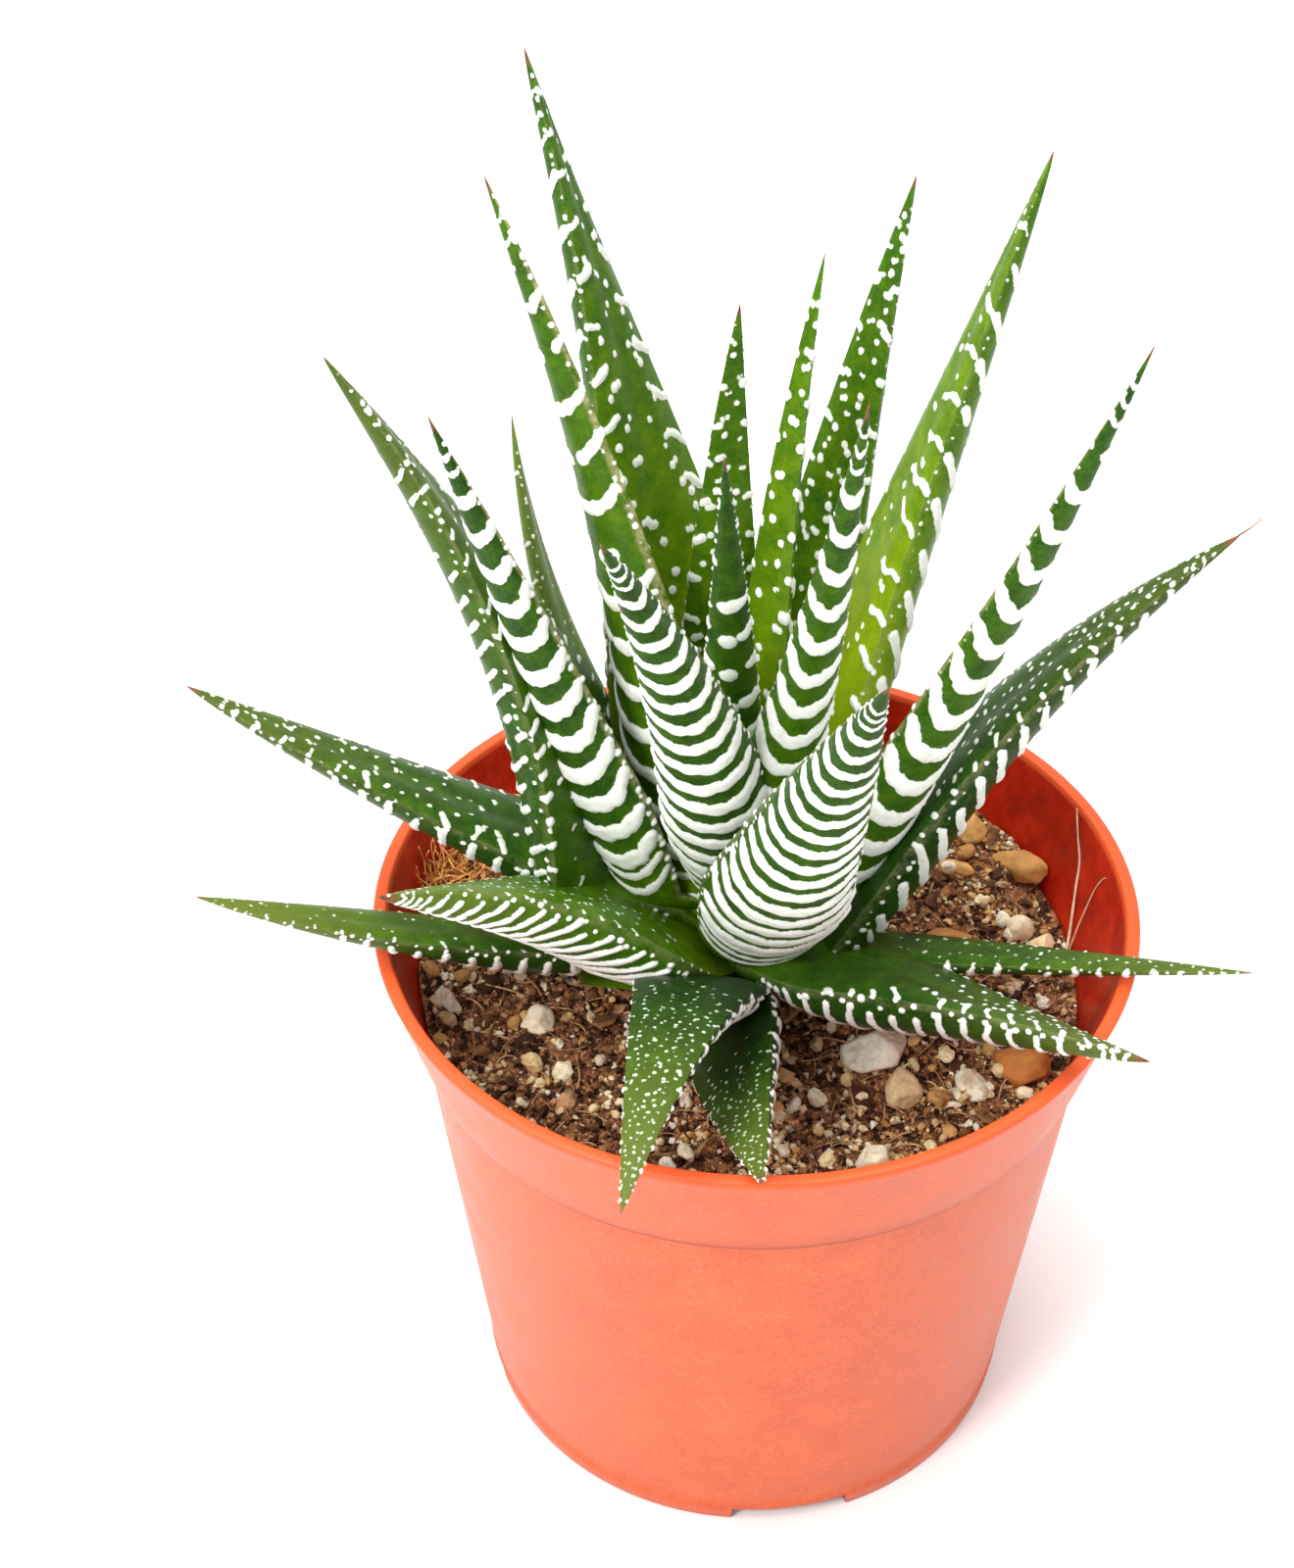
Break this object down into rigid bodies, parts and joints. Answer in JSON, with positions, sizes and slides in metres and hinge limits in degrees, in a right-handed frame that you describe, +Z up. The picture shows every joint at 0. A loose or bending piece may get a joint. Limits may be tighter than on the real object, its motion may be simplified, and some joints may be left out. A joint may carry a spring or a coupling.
{
  "type": "potted haworthia",
  "caption": "Zebra haworthia: a rosette of pointed fleshy leaves with raised white bands, growing in soil in a round tapered plastic nursery pot.",
  "frame": {"origin": "on the surface that the pot stands on, under the middle of the bounding box of the whole plant and pot", "axes": "+Z up along the pot's axis, -Y towards the side that the picture is taken from, +X to the right as seen from there"},
  "size_m": [0.119, 0.1128, 0.1675],
  "materials": {
    "pot": "satin",
    "soil": "matte",
    "stem": "matte",
    "inner_leaf": "satin",
    "outer_leaf": "satin"
  },
  "bodies": {
    "root": {"pot": "pot", "soil": "soil", "stem": "stem", "leaf_01": "inner_leaf", "leaf_02": "inner_leaf", "leaf_03": "inner_leaf", "leaf_04": "inner_leaf", "leaf_05": "inner_leaf", "leaf_06": "inner_leaf", "leaf_07": "inner_leaf", "leaf_08": "inner_leaf", "leaf_09": "outer_leaf", "leaf_10": "outer_leaf", "leaf_11": "outer_leaf", "leaf_12": "outer_leaf", "leaf_13": "outer_leaf", "leaf_14": "outer_leaf", "leaf_15": "outer_leaf", "leaf_16": "outer_leaf", "leaf_17": "outer_leaf", "leaf_18": "outer_leaf", "leaf_19": "outer_leaf", "leaf_20": "outer_leaf", "leaf_21": "outer_leaf", "leaf_22": "outer_leaf", "leaf_23": "outer_leaf", "leaf_24": "outer_leaf", "leaf_25": "outer_leaf", "leaf_26": "outer_leaf"}
  },
  "joints": []
}
